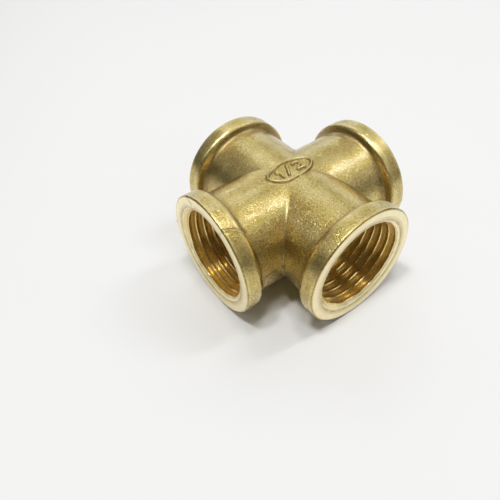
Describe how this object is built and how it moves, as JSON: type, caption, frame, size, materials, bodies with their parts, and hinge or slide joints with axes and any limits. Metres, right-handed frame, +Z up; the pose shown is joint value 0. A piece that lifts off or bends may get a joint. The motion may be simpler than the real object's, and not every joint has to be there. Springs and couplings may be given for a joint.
{
  "type": "pipe cross fitting",
  "caption": "Equal pipe cross in cast brass that joins pipes at right angles, with internally threaded ports inside raised end bands.",
  "frame": {"origin": "the point where the axes of the two straight runs cross", "axes": "+Z up, square to both runs; +X along one run and +Y along the other, out of a port"},
  "size_m": [0.042, 0.042, 0.026],
  "materials": {
    "brass": "shot-blasted yellow brass outside, machined end faces and threads"
  },
  "bodies": {
    "root": {"cross_body": "brass"}
  },
  "joints": []
}
